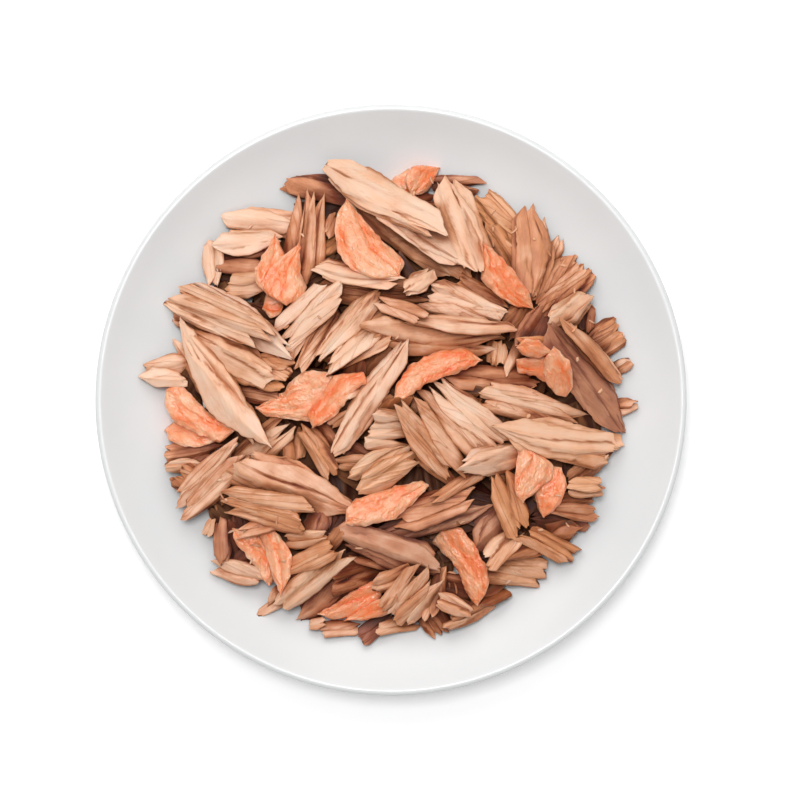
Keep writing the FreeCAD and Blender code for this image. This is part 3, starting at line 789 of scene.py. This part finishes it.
def tuna_material():
    """Cooked tuna: tan flesh with fine lengthwise fibres, amber at its edges as painted light
    through the thin flesh, with painted highlights on raised ridges and painted shade below, on its
    sides and in its grooves and hollows.
    """
    material = bpy.data.materials.new("tuna")
    n = Nodes(material)
    fibre, tone = n.stored("fibre", "Vector"), n.axes(n.stored("tone", "Vector"))
    rim, wall, hollow = n.stored("rim"), n.stored("wall"), n.stored("hollow")
    strand = n.noise(fibre, 1.0, 3.0, (0.06, 1.1, 1.1))
    hair = n.noise(fibre, 2.6, 2.0, (0.08, 1.2, 1.2))
    blotch = n.noise(fibre, 0.13, 3.0)
    grain = n.noise(fibre, 3.0, 2.0)
    band = n.noise(fibre, 0.30, 1.0, (0.10, 1.0, 1.0))
    seam = n.math("ABSOLUTE", n.centred(n.noise(fibre, 0.42, 1.0, (0.06, 1, 1))))
    # painted shade: a thin dark line in the fibre grooves, on fibrous flakes
    painted_groove_shade = n.math("SUBTRACT", 1.0, n.math("MULTIPLY", seam, 36), clamp=True)
    painted_groove_shade = n.math("MULTIPLY", painted_groove_shade, tone["Z"])

    fibres = n.math("MULTIPLY", n.centred(strand), tone["Z"])
    # painted shade: darker on the flakes' sides and dips, in the fibre grooves and in the heap's
    # hollows
    shade = n.math("ADD", n.math("MULTIPLY", wall, 0.62), n.math("MULTIPLY", hollow, 0.38))
    shade = n.math("MULTIPLY_ADD", painted_groove_shade, 0.30, shade)
    light = n.total(
        0.71,
        (tone["X"], 0.30),
        (fibres, 0.45),
        (n.centred(blotch), 0.45),
        (n.centred(band), 0.2),
        (shade, -0.8),
    )
    flesh = n.ramp(
        light,
        (
            (0.0, srgb(52, 13, 2)),
            (0.3, srgb(140, 60, 27)),
            (0.55, srgb(218, 145, 104)),
            (0.75, srgb(252, 203, 172)),
            (1.0, srgb(255, 226, 204)),
        ),
    )
    # painted light: the rim's amber edges and ridge highlights, with the flake's own warmth
    warm = n.total(0.0, (rim, 0.22), (tone["Y"], 0.45))
    flesh = n.mix(n.math("MULTIPLY", warm, 0.9), flesh, srgb(236, 162, 100))
    cool = n.math("MULTIPLY", tone["Y"], -0.5, clamp=True)
    flesh = n.mix(cool, flesh, srgb(176, 126, 104))
    # painted shade: the shaded parts are mixed towards a dark red-brown
    flesh = n.mix(n.math("MULTIPLY", shade, 0.85), flesh, srgb(72, 20, 3))
    groove = n.math("MULTIPLY", n.math("MULTIPLY", seam, 12.0, clamp=True), tone["Z"])
    thread = n.math("MULTIPLY", strand, tone["Z"])
    finish = {
        "Base Color": flesh,
        "Roughness": n.total(0.26, (grain, 0.35), (shade, 0.5)),
        "Specular IOR Level": 0.38,
        "Subsurface Weight": 0.12,
        "Subsurface Radius": (1.0, 0.45, 0.25),
        "Subsurface Scale": 0.0012,
        "Normal": n.relief((groove, 0.30), (thread, 0.25), (hair, 0.06), (grain, 0.08)),
    }
    n.fill(n.shader, finish)
    return material


def salmon_material():
    """Cooked salmon: painted shade makes it deeper orange in its folds and on its sides, paler on
    its ridges, with thin milky edges.
    """
    material = bpy.data.materials.new("salmon")
    n = Nodes(material)
    fibre, tone = n.stored("fibre", "Vector"), n.axes(n.stored("tone", "Vector"))
    rim, painted_crease_shade = n.stored("rim"), n.stored("wall")
    cloud = n.noise(fibre, 0.14, 2.0)
    vein = n.noise(fibre, 0.55, 3.0, (0.5, 1.1, 1.1))
    mottle = n.noise(fibre, 1.5, 3.0, (0.7, 1.0, 1.0))
    grain = n.noise(fibre, 1.4, 2.0)
    fold = n.noise(fibre, 0.20, 2.0, (0.55, 1.0, 1.0))
    fold = n.math("ABSOLUTE", n.centred(fold))
    # painted shade: a thin darker line in each wrinkle's groove
    painted_wrinkle_shade = n.math("SUBTRACT", 1.0, n.math("MULTIPLY", fold, 26), clamp=True)
    # painted shade: deeper orange in the creases and wrinkles and on the sides
    depth = n.total(
        0.60,
        (n.centred(cloud), 0.7),
        (n.centred(vein), 0.45),
        (tone["X"], 0.3),
        (painted_wrinkle_shade, -0.16),
        (painted_crease_shade, -0.38),
    )
    flesh = n.ramp(
        depth,
        (
            (0.0, srgb(255, 80, 20)),
            (0.35, srgb(255, 138, 80)),
            (0.7, srgb(255, 184, 140)),
            (1.0, srgb(255, 214, 186)),
        ),
    )
    milk = n.math("MULTIPLY", n.math("SUBTRACT", mottle, 0.52), 7.0, clamp=True)
    where = n.math("MULTIPLY", n.math("SUBTRACT", depth, 0.40), 1.6, clamp=True)
    milk = n.math("MULTIPLY", n.math("MULTIPLY", milk, where), 0.4)
    milk = n.math("MULTIPLY_ADD", rim, 0.1, milk)
    flesh = n.mix(milk, flesh, srgb(255, 226, 212))
    dent = n.math("MULTIPLY", fold, 9.0, clamp=True)
    finish = {
        "Base Color": flesh,
        "Roughness": n.total(0.06, (grain, 0.3)),
        "Specular IOR Level": 0.8,
        "Subsurface Weight": 0.3,
        "Subsurface Radius": (1.0, 0.4, 0.2),
        "Subsurface Scale": 0.002,
        "Normal": n.relief((dent, 0.22), (vein, 0.30), (mottle, 0.30), (grain, 0.26)),
    }
    n.fill(n.shader, finish)
    return material


def glaze_material():
    """White glaze, a touch uneven, over an unglazed foot ring that the kiln left rougher."""
    material = bpy.data.materials.new("glaze")
    n = Nodes(material)
    place = n.add("ShaderNodeTexCoord")["Object"]
    waver = n.noise(place, 45, 2.0)
    speck = n.noise(place, 900, 2.0)
    tint = n.ramp(waver, ((0.3, srgb(238, 239, 239)), (0.7, srgb(240, 241, 241))))
    bare = n.math("LESS_THAN", n.axes(place)["Z"], 0.4 * MM)
    biscuit = n.ramp(speck, ((0.3, srgb(222, 214, 203)), (0.7, srgb(232, 226, 216))))
    finish = {
        "Base Color": n.mix(bare, tint, biscuit),
        "Roughness": n.total(0.20, (waver, 0.05), (bare, 0.6)),
        "Normal": n.relief((waver, 0.12)),
    }
    n.fill(n.shader, finish)
    return material


# --- the object -----------------------------------------------------
def lay_rows(heap, rng, rows, fine=1.0):
    """Lays a table's flakes in turn. Returns their splinters and each splinter's tone."""
    laid, tones = [], []
    for x, y, heading, length, width, kind, *tone in rows:
        parts = heap.lay(flake(rng, length, width, kind, fine), x, y, heading)
        light, warm = TONES[tone[0] if tone else "mid"]
        # painted light: lighter towards the far left, darker towards the near right
        light += rng.uniform(*LIGHT_SWING) + PAINTED_LIGHT_FALLOFF * (y - x) / 100
        laid += parts
        fibrous = KINDS[kind][4]
        warm += rng.uniform(*WARM_SWING)
        tones += [(light + rng.uniform(*SPLINTER_SWING), warm, fibrous) for _ in parts]
    return laid, tones


def buried_rows(rng, radius):
    """Rows for the flakes under the others, in rings from the edge to the middle, with the deep tone
    that paints them dark as shade.
    """
    rows = []
    outer = radius - 4
    for ring in np.arange(outer, 0, -BURIED_RING):
        count = int(2 * math.pi * ring / BURIED_SPACING) + 1
        swing, longest = (30, 22) if ring == outer else (80, 32)
        for i in range(count):
            angle = 2 * math.pi * (i + rng.uniform(-0.3, 0.3)) / count
            heading = math.degrees(angle) + 90 + rng.uniform(-swing, swing)
            x, y = ring * math.cos(angle), ring * math.sin(angle)
            kind = ("pair", "bundle", "chunk", "blade")[rng.integers(4)]
            size = rng.uniform(16, longest), rng.uniform(7, 11)
            # the deep tone paints these flakes dark as shade
            rows.append((x, y, heading, *size, kind, "deep"))
    return rows


def make_core(heap, material, radius):
    """Mound of packed flesh under the flakes, in the heap from the start, coloured dark all over as
    painted shade.
    """
    rows, cols = int(radius / CORE_STEP), CORE_SECTORS
    rng = np.random.default_rng(CORE_SEED)
    share = np.linspace(1, 0.02, rows)[:, None]
    angle = np.linspace(0, 2 * math.pi, cols, endpoint=False)[None, :]
    uneven = 1 + 0.05 * np.sin(3 * angle + 1) + 0.04 * np.sin(7 * angle)
    x, y = radius * share * uneven * np.cos(angle), radius * share * uneven * np.sin(angle)
    floor = heap.plate(x, y)
    lumps = 0.8 * ripple(rng, rows, cols, 3, 3)
    z = floor[-1, 0] + CORE_HEIGHT * (1 - share**2.5) + lumps * (1 - share**8)
    z = np.maximum(z, floor + 0.3)
    np.maximum.at(heap.top, heap.cell(x, y), z)
    top = np.stack([x, y, z], axis=-1)
    under = np.stack([x[0] * 0.98, y[0] * 0.98, floor[0] + 0.1], axis=-1)[None]
    grid = np.concatenate([under, top])
    ones = np.ones(grid.shape[:2])
    # painted shade: the core counts as wall all over and gets a dark tone
    values = {"rim": 0 * ones, "wall": ones, "fibre": grid.copy()}
    return make_piece("tuna_core", [(grid, values)], material, [(-1.2, 0, 0)])


def make_crumbs(heap, rng, material, radius):
    """Fine shreds and crumbs that came loose and lie on the flakes and round the heap's edge."""
    laid, tones = [], []
    for i in range(CRUMBS):
        angle = rng.uniform(0, 2 * math.pi)
        ring = radius * (rng.uniform(0.9, 1.08) if i % 4 else rng.uniform(0.01, 1) ** 0.5)
        size = [rng.uniform(*span) for span in SHRED]
        if i % 5 == 0:
            size = [rng.uniform(*span) for span in CRUMB]
        bend = rng.uniform(-0.1, 0.1) * size[0]
        shred = splinter(rng, *size, 0.4, (0.3, 0.3), (0.1, 0.4), bend)
        place = ring * math.cos(angle), ring * math.sin(angle)
        laid += heap.lay([shred], *place, rng.uniform(0, 360))
        tones.append((rng.uniform(-0.4, 0.2), rng.uniform(-0.2, 0.6), 0.2))
    return make_piece("tuna_crumbs", laid, material, tones)


def make_salmon(heap, rng, number, material):
    """A torn piece of salmon in its node's place, of one to three lobes."""
    node = "salmon_%02d" % number
    laid, tones = [], []
    for heading, *corners in SALMON[number]:
        corners = np.array(corners)
        middle = corners.mean(axis=0)
        level = np.column_stack([corners - middle, np.zeros(len(corners))])
        grain = turned(level, -math.radians(heading))[:, :2]
        laid += heap.lay([fillet(rng, grain)], *middle, heading, SALMON_SINK)
        tones.append((rng.uniform(-0.3, 0.3), 0, 0))
    piece = make_piece(node + "_flesh", laid, material, tones)
    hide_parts(node)


def make_food():
    """Core, buried flakes, the tables' flakes and the salmon, in the order they lie in."""
    tuna, salmon = tuna_material(), salmon_material()
    heap = Heap()
    low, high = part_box("tuna_heap")
    radius = min(high.x - low.x, high.y - low.y) / 2 / MM - HEAP_INSET
    core = make_core(heap, tuna, radius - CORE_INSET)
    rng = np.random.default_rng(HEAP_SEED)
    laid, tones = lay_rows(heap, rng, buried_rows(rng, radius), LOW_DETAIL)
    pieces = [core, make_piece("tuna_buried", laid, tuna, tones)]
    for name, rows, salmon_first in LAYERS:
        if rows is LAST:
            pieces.append(make_crumbs(heap, rng, tuna, radius))
        for number in salmon_first:
            make_salmon(heap, rng, number, salmon)
        laid, tones = lay_rows(heap, rng, rows)
        pieces.append(make_piece(name, laid, tuna, tones))
    for piece in pieces:
        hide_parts("tuna_heap")
        # painted shade in the heap's hollows
        set_hollows(piece, heap)


# --- floor, light and camera ----------------------------------------
EYE_HEIGHT = 0.88          # of the camera over the plate's lip, m
EYE_ASIDE = 3.0 * MM       # so far the plate stands to the left of the view's middle
LENS = 117.3               # mm, on a sensor 36 mm wide
WHITE_FROM, WHITE_AT = 0.4, 1.6   # distances over which the floor turns plain white, m
FLOOR_GLOW = 0.26          # added near the plate, so that its shadow stays and the rest is white
DOWNWARD, UPWARD = 0.17, 0.40     # strength of the room's light towards the floor and ceiling
LAMP_DISTANCE = 1.6        # m
# Each lamp: degrees from the zenith, azimuth, width and depth in metres, and radiance.
LAMPS = (
    ("window", 44, 97, 1.5, 1.1, 1.64),
    ("overhead", 10, 110, 0.45, 0.45, 19.2),
)


def make_floor():
    """Pale floor that shows white to the camera and keeps the plate's soft shadow."""
    bpy.ops.mesh.primitive_plane_add(size=6)
    floor = bpy.context.object
    floor.name = "floor"
    material = bpy.data.materials.new("floor")
    n = Nodes(material)
    seen = n.add("ShaderNodeLightPath")
    shown = n.math("MAXIMUM", seen["Is Camera Ray"], seen["Is Glossy Ray"])
    shown = n.math("MAXIMUM", shown, seen["Is Transmission Ray"])
    place = n.add("ShaderNodeTexCoord")["Object"]
    away = n.add("ShaderNodeVectorMath", {0: place}, operation="LENGTH")["Value"]
    glow = n.spread(away, WHITE_FROM, WHITE_AT, FLOOR_GLOW, 1.0)
    finish = {
        "Base Color": (0.9, 0.9, 0.9, 1),
        "Roughness": 0.9,
        "Specular IOR Level": 0.0,
        "Emission Color": (1, 1, 1, 1),
        "Emission Strength": n.math("MULTIPLY", shown, glow),
    }
    n.fill(n.shader, finish)
    floor.data.materials.append(material)


def make_light():
    """Dim white room with a large soft window on the far side and a soft lamp overhead."""
    world = bpy.data.worlds.new("room")
    bpy.context.scene.world = world
    n = Nodes(world, "Background")
    toward = n.axes(n.add("ShaderNodeTexCoord")["Generated"])
    level = n.spread(toward["Z"], 0.0, 1.0, DOWNWARD, UPWARD)
    seen = n.add("ShaderNodeLightPath")["Is Camera Ray"]
    strength = n.math("MAXIMUM", level, seen)
    n.fill(n.shader, {"Color": (1.0, 1.0, 1.0, 1), "Strength": strength})

    for name, zenith, azimuth, wide, deep, radiance in LAMPS:
        light = bpy.data.lights.new(name, "AREA")
        light.shape = "RECTANGLE"
        light.size, light.size_y = wide, deep
        light.energy = radiance * math.pi * wide * deep
        lamp = bpy.data.objects.new(name, light)
        bpy.context.scene.collection.objects.link(lamp)
        tilt, turn = math.radians(zenith), math.radians(azimuth)
        away = Vector(
            (math.sin(tilt) * math.cos(turn), math.sin(tilt) * math.sin(turn), math.cos(tilt))
        )
        lamp.location = away * LAMP_DISTANCE
        lamp.rotation_euler = away.to_track_quat("Z", "Y").to_euler()


def make_camera():
    """Straight down on the plate, which stands a little left of the middle of the view."""
    low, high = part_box("plate")
    camera = bpy.data.cameras.new("camera")
    camera.sensor_width = 36
    camera.lens = LENS
    camera.clip_start = 0.01
    eye = bpy.data.objects.new("camera", camera)
    bpy.context.scene.collection.objects.link(eye)
    middle = (low + high) / 2
    eye.location = (middle.x + EYE_ASIDE, middle.y, high.z + EYE_HEIGHT)
    bpy.context.scene.camera = eye


def main():
    make_plate(glaze_material())
    make_food()
    make_floor()
    make_light()
    make_camera()
    bpy.context.scene.view_settings.view_transform = "Standard"


main()
